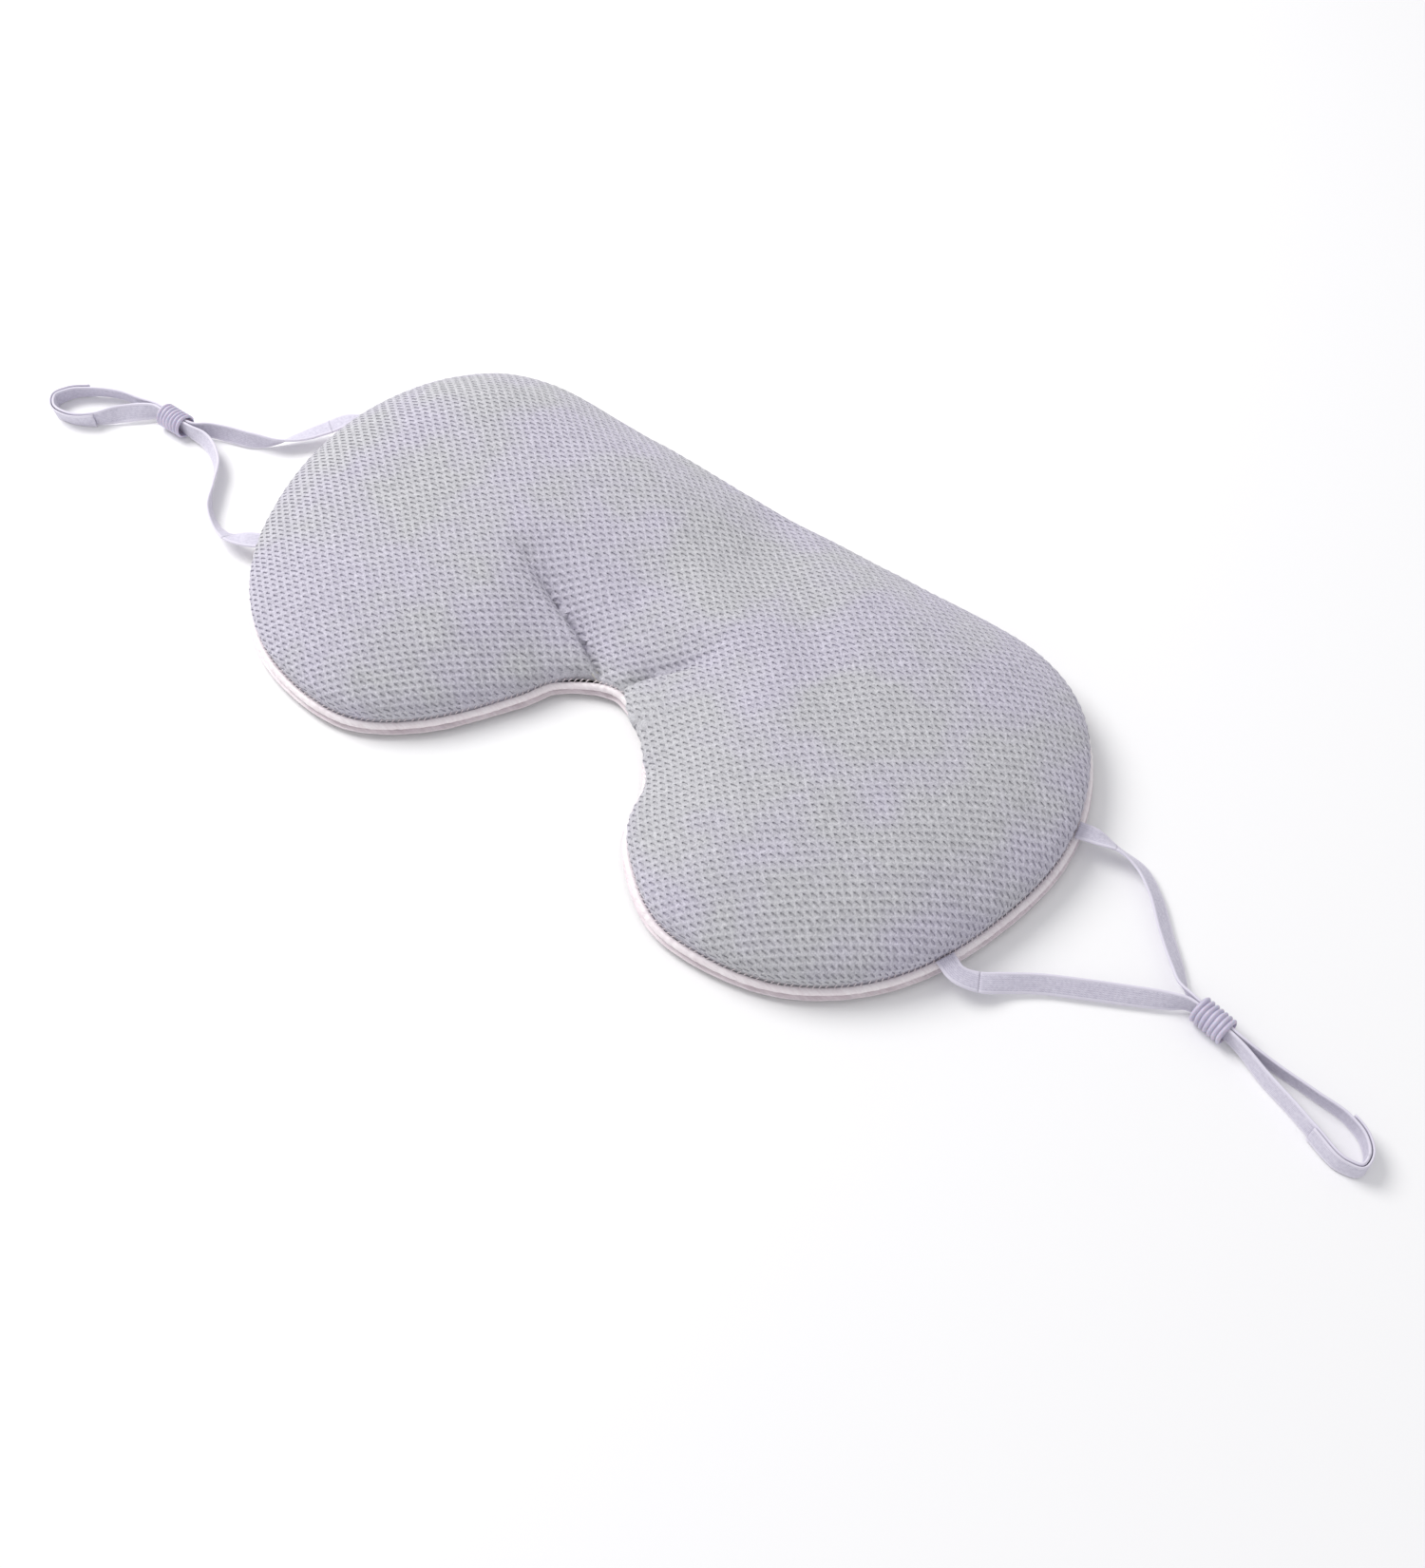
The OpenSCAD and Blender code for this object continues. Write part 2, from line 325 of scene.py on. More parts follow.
RING_OFFSETS, RING_STEP = [0, 1.0, 2.6, 4.8, 7.6], 6
GRID_PITCH, GRID_HALF = 3.7, (112, 60)


def coarse_sheet():
    """A triangle mesh of the face in plan: rings along the seam, then an even grid."""
    rings = []
    for k, inward in enumerate(RING_OFFSETS):
        ring = (seam - seam_out * inward)[(k % 2) * RING_STEP // 2 :: RING_STEP]
        far = to_seam(ring)[0]
        rings.append(ring[far > inward * 0.9] if k else ring)
    half_x, half_y = GRID_HALF
    row_pitch = GRID_PITCH * 0.866
    gx, gy = np.meshgrid(np.arange(-half_x, half_x, GRID_PITCH), np.arange(-half_y, half_y, row_pitch))
    gx = gx + (np.arange(gx.shape[0]) % 2)[:, None] * GRID_PITCH / 2
    grid = np.stack([gx.ravel(), gy.ravel()], axis=1)
    grid = grid[within(grid, seam)]
    grid = grid[to_seam(grid)[0] > RING_OFFSETS[-1] + GRID_PITCH * 0.62]
    points = np.concatenate(rings + [grid])
    made = geometry.delaunay_2d_cdt([Vector(p) for p in points], ring_links(len(rings[0])), [], 1, 1e-5)
    points = np.array([tuple(v) for v in made[0]])
    return points, [tuple(f) for f in made[2]]


CLOTH = dict(
    quality=8, mass=0.02, air_damping=4, tension_stiffness=12, compression_stiffness=12,
    shear_stiffness=4, bending_stiffness=0.25, vertex_group_mass="held", use_pressure=True,
    uniform_pressure_force=4, shrink_min=-0.01,
)
CLOTH_FRAMES, MOST_PUFF, EVENING_ROUNDS = 20, 2.2, 3


def puffed(plan, faces, pinned, height):
    """The face after a short cloth simulation: the sewn edge is held and the padding presses from below."""
    start = np.column_stack([plan, height])
    made = add_mesh("work_cloth", start, faces)
    group = made.vertex_groups.new(name="held")
    group.add([int(k) for k in np.flatnonzero(pinned)], 1.0, "REPLACE")
    cloth = made.modifiers.new("cloth", "CLOTH")
    for key, value in CLOTH.items():
        setattr(cloth.settings, key, value)
    cloth.settings.effector_weights.gravity = 0
    cloth.collision_settings.use_collision = False
    cloth.point_cache.frame_start, cloth.point_cache.frame_end = 1, CLOTH_FRAMES
    scene = bpy.context.scene
    for number in range(1, CLOTH_FRAMES + 1):
        scene.frame_set(number)
    move = evaluated(made)[0] - start
    scene.frame_set(1)
    size = np.linalg.norm(move, axis=1, keepdims=True)
    return start + evened(move * np.minimum(1, MOST_PUFF / np.maximum(size, 1e-9)), faces, pinned)


def evened(move, faces, pinned):
    """The cloth's moves, each drawn towards the mean of its neighbours so that no ripple is left."""
    a, b = edges_of(faces).T
    count = (np.bincount(a, minlength=len(move)) + np.bincount(b, minlength=len(move)))[:, None]
    for _ in range(EVENING_ROUNDS):
        near = np.stack([
            np.bincount(a, move[b, k], len(move)) + np.bincount(b, move[a, k], len(move)) for k in range(3)
        ], axis=1)
        move = np.where(pinned[:, None], 0, 0.4 * move + 0.6 * near / count)
    return move


# How far the padding leans out over the seam, and where it leans out more or less than that.
LEAN, LEAN_PEAK = 2.4, 2.2
LEANS = [
    ((-88, 36), 24, 0.5), ((-105, -8), 15, -0.6), ((11, -15), 8, 4.0), ((27, -40), 9, 0.5),
    ((-5, -11), 6, -0.9), ((22.3, -28.0), 5, -0.8),
]


def leaned(points, far, near):
    """The face with its lower part moved out over the seam."""
    amount = LEAN + spots(seam[near], LEANS)
    share = far / LEAN_PEAK
    moved = points.copy()
    moved[:, :2] += seam_out[near] * (amount * share * np.exp(1 - share))[:, None]
    return moved


# Folds in the face: the path from the seam inward, the depth as a share, the side on which the padding
# rolls over the fold, and the widths at both ends on that side and on the open side.
FOLDS = [
    (
        [(-5.2, -11.2), (-9.5, -9.2), (-15.7, -6.0), (-25.4, -2.9), (-33.5, 0.0), (-44, 4.4)],
        0.98, 1, (0.9, 5.0), (2.6, 8.0),
    ),
    (
        [(1.2, -11.6), (4.0, -8.1), (8.4, -3.6), (13.2, 0.9), (20.4, 7.5)],
        0.88, -1, (0.9, 3.6), (1.8, 5.4),
    ),
]
FOLD_TIGHT, FOLD_RANGE = 0.68, 6.0
# Shallow hollows and swells: middle, half widths, turn in degrees, depth.
VALLEYS = [
    ((25.0, 27.0), (22, 6), -38, 0.9), ((44, 10), (14, 7), -35, 0.5), ((-30, 24), (16, 9), 30, 0.4),
    ((-86, 34), (22, 14), 45, -1.5), ((-60, -20), (26, 16), 10, -0.5), ((8, 8), (9, 12), 0, -0.5),
]


def beside_path(points, path):
    """Where each point lies by a path: distance, share of the way along it, side, and nearest place on it."""
    run = runs_of(path)
    best, along, side = np.full(len(points), 1e9), np.zeros(len(points)), np.zeros(len(points))
    place = points.copy()
    for k in range(len(path) - 1):
        d = path[k + 1] - path[k]
        q = points - path[k]
        t = np.clip((q @ d) / (d @ d), 0, 1)
        gap = np.linalg.norm(q - t[:, None] * d, axis=1)
        nearer = gap < best
        best = np.where(nearer, gap, best)
        along = np.where(nearer, (run[k] + t * (run[k + 1] - run[k])) / run[-1], along)
        side = np.where(nearer, d[0] * q[:, 1] - d[1] * q[:, 0], side)
        place = np.where(nearer[:, None], path[k] + t[:, None] * d, place)
    return best, along, side, place


def folded(points):
    """The face with its folds pressed in, the padding drawn over them, and its shallow hollows."""
    moved = points.copy()
    plan = points[:, :2]
    for path, share, lobe_side, steep, gentle in FOLDS:
        best, along, side, place = beside_path(plan, np.array(path, float))
        over = side * lobe_side > 0
        widths = np.where(
            over,
            steep[0] + (steep[1] - steep[0]) * along**1.4,
            gentle[0] + (gentle[1] - gentle[0]) * along,
        )
        fade = (1 - step01(along * 1.02)) ** 0.8
        dip = share * fade * np.exp(-(best / widths))
        moved[:, 2] = SEAM_TOP + (moved[:, 2] - SEAM_TOP) * (1 - dip)
        tight = FOLD_TIGHT * fade * np.exp(-((best / FOLD_RANGE) ** 2)) * over
        moved[:, :2] += (place - plan) * tight[:, None]
    for (x, y), (wide_u, wide_v), turn, depth in VALLEYS:
        c, s = math.cos(math.radians(turn)), math.sin(math.radians(turn))
        u = (points[:, 0] - x) * c + (points[:, 1] - y) * s
        v = (points[:, 1] - y) * c - (points[:, 0] - x) * s
        moved[:, 2] -= depth * np.exp(-((u / wide_u) ** 2) - (v / wide_v) ** 2)
    return moved


def flattened(points, faces, start, rounds):
    """Flat cloth whose edges are as long as those of the shaped cloth, found by letting springs settle."""
    a, b = edges_of(faces).T
    length = np.linalg.norm(points[a] - points[b], axis=1)
    count = np.bincount(a, minlength=len(points)) + np.bincount(b, minlength=len(points))
    flat = start.copy()
    for _ in range(rounds):
        d = flat[b] - flat[a]
        now = np.linalg.norm(d, axis=1)
        pull = d * ((now - length) / np.maximum(now, 1e-9))[:, None]
        for axis in (0, 1):
            total = np.bincount(a, pull[:, axis], len(flat)) - np.bincount(b, pull[:, axis], len(flat))
            flat[:, axis] += 0.9 * total / count
    return flat


def in_plane(plan):
    return np.column_stack([plan, np.zeros(len(plan))])


COARSE_ROUNDS, FINE_ROUNDS = 500, 160
sheet_plan, sheet_faces = coarse_sheet()
sheet_far, sheet_near = to_seam(sheet_plan)
held = sheet_far < 1e-3
coarse = puffed(sheet_plan, sheet_faces, held, face_height(sheet_plan, sheet_far))
coarse = leaned(coarse, sheet_far, sheet_near)
coarse_flat = flattened(coarse, sheet_faces, sheet_plan, COARSE_ROUNDS)
fine, fine_faces = subdivided(coarse, sheet_faces, 2)
fine_flat = subdivided(in_plane(coarse_flat), sheet_faces, 2)[0][:, :2]
fine = folded(fine)
fine_flat = flattened(fine, fine_faces, fine_flat, FINE_ROUNDS)
fine_normals = point_normals(fine, fine_faces)

# ---- knitted mesh face
SLIT_PITCH, ROW_PITCH = 2.65, 1.215
SLIT_LONG, SLIT_WIDE, SLIT_DEEP, SLIT_TAPER = 0.9, 0.23, 0.34, 0.94
SLIT_SHAPE = np.array([[1, 0], [0.66, 1], [-0.7, 0.94], [-1, 0], [-0.66, -1], [0.7, -0.94]])
RIM_LIFT, KNOT_LIFT = 0.05, 0.02
# The rows sag towards both ends by this much times the cube of the distance from the middle.
ROW_BEND = 6.4e-6
EDGE_CLEAR = 1.15
EDGE_DROP = 1.0


def slit_places(edge):
    """The middles of the slits that lie well inside the cut edge, and how far each is turned."""
    low, high = edge.min(0) - 2, edge.max(0) + 2
    rows = np.arange(math.floor(low[1] / ROW_PITCH) - 4, math.ceil(high[1] / ROW_PITCH) + 20)
    columns = np.arange(math.floor(low[0] / SLIT_PITCH) - 1, math.ceil(high[0] / SLIT_PITCH) + 2)
    column, row = np.meshgrid(columns, rows)
    u = (column + 0.5 * (row % 2)) * SLIT_PITCH
    v = row * ROW_PITCH - ROW_BEND * np.abs(u) ** 3
    centre = np.stack([u.ravel(), v.ravel()], axis=1)
    turn = np.arctan(-3 * ROW_BEND * centre[:, 0] * np.abs(centre[:, 0]))
    keep = within(centre, edge) & (nearest(centre, edge)[0] > EDGE_CLEAR)
    return centre[keep], turn[keep]


def slit_rims(centre, turn):
    """The rim of each slit, each a little different, and the direction along it."""
    number = len(centre)
    turn = turn + rng.normal(0, 0.05, number)
    long = SLIT_LONG * (1 + rng.normal(0, 0.09, number))
    wide = SLIT_WIDE * (1 + rng.normal(0, 0.12, number))
    along = np.stack([np.cos(turn), np.sin(turn)], axis=1)
    across = np.stack([-along[:, 1], along[:, 0]], axis=1)
    rim = (
        centre[:, None]
        + SLIT_SHAPE[None, :, :1] * (long[:, None, None] * along[:, None])
        + SLIT_SHAPE[None, :, 1:] * (wide[:, None, None] * across[:, None])
    )
    return rim, along


def on_face(flat):
    """Points of the flat cloth as places on the shaped face, and the face's direction at each."""
    t = triangles_of(fine_faces)
    tree = BVHTree.FromPolygons(
        [Vector((p[0], p[1], 0)) for p in fine_flat], [tuple(int(i) for i in k) for k in t]
    )
    hits = np.array([tree.find_nearest(Vector((p[0], p[1], 0)))[2] for p in flat], int)
    corners = t[hits]
    A, B, C = (fine_flat[corners[:, k]] for k in range(3))
    area = np.cross(B - A, C - A)
    area = np.where(np.abs(area) < 1e-12, 1e-12, area)
    wb = np.clip(np.cross(flat - A, C - A) / area, -0.5, 1.5)
    wc = np.clip(np.cross(B - A, flat - A) / area, -0.5, 1.5)
    shaped, normal = np.zeros((len(flat), 3)), np.zeros((len(flat), 3))
    for w, k in ((1 - wb - wc, 0), (wb, 1), (wc, 2)):
        shaped += w[:, None] * fine[corners[:, k]]
        normal += w[:, None] * fine_normals[corners[:, k]]
    return shaped, unit(normal)


def knit(name):
    """The mesh face, rows of slits in a cloth that follows the shaped face, and its flat area and span."""
    edge = fine_flat[np.array(open_loop(fine_faces))]
    centre, turn = slit_places(edge)
    rim, along = slit_rims(centre, turn)
    # The thread between the ends of two slits stands up a little.
    knots = centre + along * SLIT_PITCH / 2
    knots = knots[nearest(knots, edge[::3])[0] > EDGE_CLEAR]
    number, sides = rim.shape[:2]
    first = len(edge)
    links = ring_links(first)
    for k in range(number):
        links += ring_links(sides, first + k * sides)
    given = np.concatenate([edge, rim.reshape(-1, 2), knots])
    made = geometry.delaunay_2d_cdt([Vector(p) for p in given], links, [], 1, 1e-6)
    flat = np.array([tuple(p) for p in made[0]])
    # For each point of the net: the given points that it stands for, the slit that owns it and its lift.
    owner, lift, place = np.full(len(flat), -1), np.zeros(len(flat)), {}
    for k, sources in enumerate(made[3]):
        for source in sources:
            place[source] = k
            if first <= source < first + number * sides:
                owner[k] = (source - first) // sides
                lift[k] = RIM_LIFT
            elif source >= first + number * sides:
                lift[k] = KNOT_LIFT
    shaped, normal = on_face(flat)
    points = shaped + normal * lift[:, None]
    slit_of = [{owner[k] for k in f} for f in made[2]]
    faces = [tuple(f) for f, slits in zip(made[2], slit_of) if len(slits) > 1 or slits == {-1}]
    slots = [0] * len(faces)
    # Walls and floors of the slits; they take the second material, the painted slit shade.
    rim_at = np.array([[place[first + k * sides + j] for j in range(sides)] for k in range(number)])
    middle = points[rim_at].mean(1, keepdims=True)
    floor = middle + (points[rim_at] - middle) * SLIT_TAPER - normal[rim_at] * SLIT_DEEP
    base = len(points)
    points = np.concatenate([points, floor.reshape(-1, 3)])
    for k, ring in enumerate(rim_at):
        at = base + k * sides
        faces += [(ring[j], ring[m], at + m, at + j) for j, m in ring_links(sides)]
        faces.append(tuple(range(at, at + sides)))
        slots += [1] * (sides + 1)
    # The cut edge turns down into the seam.
    edge_at = [place[k] for k in range(first)]
    base = len(points)
    points = np.concatenate([points, points[edge_at] + np.array([0, 0, -EDGE_DROP])])
    faces += [(edge_at[m], edge_at[k], base + k, base + m) for k, m in ring_links(first)]
    slots += [0] * first
    tone = np.zeros(len(points))
    tone[: len(flat)] = rng.normal(0, 1, len(flat))
    made = add_mesh(name, points, faces, face_slots=slots, values={"thread_tone": tone})
    made.data.polygons.foreach_set("use_smooth", [k == 0 for k in slots])
    after = np.roll(edge, -1, 0)
    area = abs(0.5 * float((edge[:, 0] * after[:, 1] - edge[:, 1] * after[:, 0]).sum()))
    return faced_up(made), area, np.ptp(edge, axis=0)


panel, panel_area, panel_span = knit("mesh_face")


# ---- padding
# The wadding lies this far under the cloth, and deeper by a share of each fold.
CLOTH_THICK, FOLD_EXTRA, FOLD_MOST = 1.0, 0.22, 6
WADDING_INSET, WADDING_LEAST, WADDING_BASE = 1.2, 0.3, 0.95
# The underside is flat, and from UNDER_REACH inside the seam it rises by UNDER_RISE.
UNDER_RISE, UNDER_REACH = 2.0, 10.5


def padding(name):
    """The wadding: the shaped face drawn in by the cloth's thickness, closed by a flat underside."""
    points, faces = subdivided(coarse, sheet_faces, 1)
    plan = subdivided(in_plane(sheet_plan), sheet_faces, 1)[0]
    smooth_top = points[:, 2]
    points = folded(points)
    points[:, 2] -= FOLD_EXTRA * np.clip(smooth_top - points[:, 2], 0, FOLD_MOST)
    top = points - point_normals(points, faces) * CLOTH_THICK
    far, near = to_seam(plan)
    inward = seam_out[near] * np.clip(WADDING_INSET - far, 0, WADDING_INSET)[:, None]
    top[:, :2] -= inward
    under = plan.copy()
    under[:, :2] -= inward
    under[:, 2] = UNDER_RISE * np.maximum(0, 1 - far / UNDER_REACH) ** 2 + WADDING_BASE
    top[:, 2] = np.maximum(top[:, 2], under[:, 2] + WADDING_LEAST)
    count = len(top)
    loop = open_loop(faces)
    all_faces = list(faces) + [tuple(k + count for k in reversed(f)) for f in faces]
    for a, b in zip(loop, loop[1:] + loop[:1]):
        all_faces.append((b, a, a + count, b + count))
    return faced_up(add_mesh(name, np.concatenate([top, under]), all_faces))


wadding = padding("padding")


# ---- tubes along the seam
def ring_tube(name, sections):
    """A closed tube along the seam. sections gives (out, up) of each point of each ring."""
    rings, sides = sections.shape[:2]
    points = np.zeros((rings, sides, 3))
    points[..., :2] = seam[:, None] + seam_out[:, None] * sections[..., :1]
    points[..., 2] = sections[..., 1]
    return faced_out(add_mesh(name, points.reshape(-1, 3), net_faces(rings, sides)))


WAVES = 5


def wavy(sizes, seed):
    """A smooth closed noise along the seam, from waves with the given lengths and heights."""
    local = np.random.default_rng(seed)
    s = angles(SEAM_COUNT)
    out = np.zeros(SEAM_COUNT)
    for size, share in sizes:
        middle = SEAM_LENGTH / size
        for _ in range(WAVES):
            turns = max(1, round(middle * local.uniform(0.8, 1.25)))
            out += share * np.sin(turns * s + local.uniform(0, 2 * np.pi)) / 2.2
    return out


PIPING_SIZE, PIPING_OUT = PIPING_R - 0.24, PIPING_R - 0.36
PIPING_SIDES = 14
# The piping is tucked under the face on the right of the notch: middle, width and inward move.
TUCK = spots(seam, [((16.5, -21), 11, 1.25)])


def piping(name):
    """The rolled satin edge, puckered along its length."""
    angle = angles(PIPING_SIDES)
    pucker = wavy([(1.9, 0.6), (3.4, 0.6), (11, 0.5)], 3)
    twist = wavy([(2.6, 0.8), (7, 0.8)], 4)
    radius = PIPING_SIZE * (
        1 + 0.05 * pucker[:, None] + 0.045 * twist[:, None] * np.cos(angle - 0.8)
    )
    # The inner side is drawn in towards the stitches.
    flat = 1 - 0.10 * np.clip(-np.cos(angle), 0, 1)
    sections = np.stack([
        PIPING_OUT - TUCK[:, None] + radius * np.cos(angle) * flat,
        EDGE_Z + radius * np.sin(angle) + 0.12 * wavy([(24, 1)], 6)[:, None],
    ], axis=-1)
    return ring_tube(name, sections)


# The underside's rings follow the seam up to SEAM_RINGS from it, then close in on the lobes' ridge.
UNDER_OFFSETS, SEAM_RINGS, CLOSING = [0.8, 1.8, 3.2, 5, 7.5, 10.5, 15, 21], 7.5, 22
UNDER_STEP = 2
LIP_WIDTH, LIP_DROP, PUCKER_DEEP, PUCKER_REACH = 1.9, 0.55, 0.22, 6
RIDGE_END, RIDGE_Y, RIDGE_RISE = 62, 2, 17


def toward_ridge(points):
    """The nearest place on a line through the middle of both lobes, which rises above the nose gap."""
    x = np.clip(points[:, 0], -RIDGE_END, RIDGE_END)
    return np.column_stack([x, RIDGE_Y + RIDGE_RISE * np.exp(-((x / NOSE_WIDTH) ** 2))])


def under_sheet(name, edge, above, thick):
    """A flat sheet of the mask's underside, rising a little to the seam. edge gives its outermost offsets."""
    pucker = wavy([(5.5, 0.8), (12, 0.8)], 8)
    use = np.arange(0, SEAM_COUNT, UNDER_STEP)
    around = len(use)
    rings = []
    for inward in edge + UNDER_OFFSETS:
        line = base_seam if inward > 8 else seam
        ring = line[use] - seam_out[use] * min(inward, SEAM_RINGS)
        if inward < 0:
            ring = ring - seam_out[use] * TUCK[use, None]
        if inward > SEAM_RINGS:
            ring = ring + (toward_ridge(ring) - ring) * min(1, (inward - SEAM_RINGS) / CLOSING)
        lip = step01(-inward / LIP_WIDTH)
        height = UNDER_RISE * max(0, 1 - max(inward, 0) / UNDER_REACH) ** 2
        fade = math.exp(-max(inward, 0) / PUCKER_REACH) * (1 - 0.7 * lip)
        z = np.maximum(height - LIP_DROP * lip + PUCKER_DEEP * pucker[use] * fade, 0.0) + above
        rings.append(np.column_stack([ring, z]))
    under = np.concatenate(rings)
    faces = net_faces(len(rings), around, closed=False)
    inner = len(under) - around
    cap = geometry.delaunay_2d_cdt([Vector(p[:2]) for p in under[inner:]], ring_links(around), [], 1, 1e-6)
    faces += [tuple(inner + cap[3][k][0] for k in reversed(f)) for f in cap[2]]
    count = len(under)
    upper = under + np.array([0, 0, thick])
    upper_faces = [tuple(k + count for k in reversed(f)) for f in faces]
    rim = [(k, k + count, m + count, m) for k, m in ring_links(around)]
    return faced_out(add_mesh(name, np.concatenate([under, upper]), faces + upper_faces + rim))


STITCH_PITCH, STITCH_R, STITCH_SIDES, STITCH_JITTER = 1.45, 0.17, 5, 0.05


def small_tube(path, radius, sides):
    """Points and faces of a short closed tube along a few points."""
    path = np.asarray(path, float)
    along = unit(np.gradient(path, axis=0))
    side = unit(np.cross(along, [0, 0, 1.0]) + 1e-9)
    up = np.cross(side, along)
    angle = angles(sides)
    shrink = np.array([0.45] + [1.0] * (len(path) - 2) + [0.45])
    rings = path[:, None] + radius * shrink[:, None, None] * (
        np.cos(angle)[None, :, None] * side[:, None] + np.sin(angle)[None, :, None] * up[:, None]
    )
    return rings.reshape(-1, 3), rod_faces(len(path), sides)


def stitches(name):
    """Short thread stitches that bite from the piping into the mesh face all round the seam."""
    points, faces = [], []
    total = 0
    count = int(SEAM_LENGTH / STITCH_PITCH)
    for k in range(count):
        i = int(k * SEAM_COUNT / count) % SEAM_COUNT
        j = (i + 2) % SEAM_COUNT
        here, out, there = seam[i], seam_out[i], seam[j]
        inner, outer, _ = rng.normal(0, STITCH_JITTER, 3)
        path = [
            [*(here - out * (0.35 + inner)), SEAM_TOP - 0.05],
            [*(here * 0.6 + there * 0.4 + out * 0.05), SEAM_TOP + 0.12],
            [*(there + out * (0.62 + outer)), SEAM_TOP - 0.02],
        ]
        p, f = small_tube(path, STITCH_R, STITCH_SIDES)
        points.append(p)
        faces += [tuple(a + total for a in q) for q in f]
        total += len(p)
    return add_mesh(name, np.concatenate(points), faces)


CORE_R, CORE_SIDES = 0.5, 8


def piping_cord(name):
    """The thin cord inside the piping."""
    angle = angles(CORE_SIDES)
    ring = np.stack([PIPING_OUT + CORE_R * np.cos(angle), EDGE_Z + CORE_R * np.sin(angle)], axis=-1)
    sections = np.tile(ring, (SEAM_COUNT, 1, 1))
    sections[..., 0] -= TUCK[:, None]
    return ring_tube(name, sections)


cover = piping("piping_satin")
# The satin back shows its edge as a thin lip under the piping; the black layer lies on it, inside.
back = under_sheet("satin_lining", [-2.0, -1.88, -1.5, -0.9, 0], 0.0, 0.34)
black_sheet = under_sheet("blackout_sheet", [0.3], 0.39, 0.26)
core = piping_cord("piping_core")
thread = stitches("seam_stitches")

# ---- elastic tapes
TAPE_W, TAPE_T = 4.6, 0.7
# The routes of part.scad as x, y, z and roll in degrees, from the upper root round the tip to the lower
# root. Some rolls differ a little from part.scad's, to turn the tapes as the photo shows them.
RIGHT_ROUTE = [
    [105, 19.2, 5, 0], [109, 20.2, 4.8, -8], [114.4, 21.2, 3.4, -50], [121, 20.4, 2.5, -41],
    [126.2, 16.8, 2.3, -39], [132.8, 9.8, 2.3, -37], [138.8, 3.8, 2.4, -42], [142.4, 0, 2.8, -60],
    [144.8, -1.6, 3, -88], [147, -2.2, 3.1, -90], [155, -3.8, 3.1, -90], [158, -4.3, 3, -90],
    [166, -4.9, 2.4, -85], [175.6, -5.6, 2.4, -85], [183.2, -6.4, 2.4, -88], [187.6, -8.6, 2.4, -90],
    [189.8, -11.8, 2.4, -90], [189.6, -14.6, 2.4, -88], [187.2, -15.4, 2.4, -85], [179.2, -13.2, 2.4, -80],
    [172.8, -10.8, 2.4, -80], [165.8, -8.4, 2.4, -80], [158, -5.4, 3, -88], [155, -4.6, 3.1, -90],
    [147, -3, 3.1, -90], [145, -3, 3, -85], [142, -4.4, 2.8, -65], [134.8, -8, 2.4, -45],
    [125.4, -13, 2.4, -42], [117.6, -17.4, 2.4, -42], [111.8, -21.8, 2.8, -35], [108, -25, 3.6, -15],
    [103.4, -26.8, 4.8, 0], [99.2, -25.2, 5, 0],
]
LEFT_ROUTE = [
    [-105.6, 17.2, 5, 0], [-109.4, 15.6, 4.8, 0], [-113.4, 10.6, 3.6, 2], [-117.2, 5, 2.8, 18],
    [-120.8, 0.6, 2.5, 54], [-126.6, -3.2, 2.4, 105], [-133.4, -5.6, 2.5, 110], [-138.2, -7.8, 2.8, 100],
    [-140.8, -9.7, 3, 92], [-143, -10.2, 3.1, 90], [-151, -10.2, 3.1, 90], [-153.8, -10.3, 3, 90],
    [-158.6, -11, 2.6, 84], [-166, -12.2, 2.4, 74], [-172.8, -15.8, 2.4, 72], [-177, -20, 2.4, 78],
    [-178, -23.6, 2.4, 86], [-175.6, -25.8, 2.4, 100], [-170.6, -25.6, 2.4, 107], [-165.2, -22.4, 2.4, 96],
    [-160.4, -16.8, 2.5, 55], [-156.4, -13.2, 2.8, 60], [-153.8, -11.4, 3, 80], [-151, -11, 3.1, 90],
    [-143, -11, 3.1, 90], [-140.8, -11, 3, 85], [-136.8, -10.8, 2.8, 70], [-128.4, -14.4, 2.5, 65],
    [-122.6, -21.6, 2.4, 70], [-117.6, -27, 2.4, 100], [-112, -30, 2.6, 120], [-106.8, -31, 3.6, 150],
    [-102.2, -30, 4.8, 180], [-97.8, -27.8, 5, 180],
]
# Route points at the tip and at both ends of the joining strip.
TIP, STRIP_FROM, STRIP_TO = 16, 14, 19
STRIP_OFF, STRIP_T = TAPE_T + 0.1, 0.52
ROOT_LENGTH = 9.0
ROUTE_STEP = 0.55


def smooth_route(route):
    """The route as close-set points on a smooth curve: points, rolls, runs, and each route point's run."""
    route = np.array(route, float)
    gap, run = steps_of(route[:, :3]), runs_of(route[:, :3])
    slope = np.zeros_like(route)
    chord = np.diff(route, axis=0) / gap[:, None]
    slope[1:-1] = (chord[:-1] * gap[1:, None] + chord[1:] * gap[:-1, None]) / (gap[1:] + gap[:-1])[:, None]
    slope[0], slope[-1] = chord[0], chord[-1]
    at = np.linspace(0, run[-1], int(run[-1] / ROUTE_STEP) + 1)
    k = np.clip(np.searchsorted(run, at, side="right") - 1, 0, len(gap) - 1)
    h = gap[k][:, None]
    t = ((at - run[k]) / gap[k])[:, None]
    value = (
        (2 * t**3 - 3 * t**2 + 1) * route[k]
        + (t**3 - 2 * t**2 + t) * h * slope[k]
        + (3 * t**2 - 2 * t**3) * route[k + 1]
        + (t**3 - t**2) * h * slope[k + 1]
    )
    return value[:, :3], value[:, 3], at, run


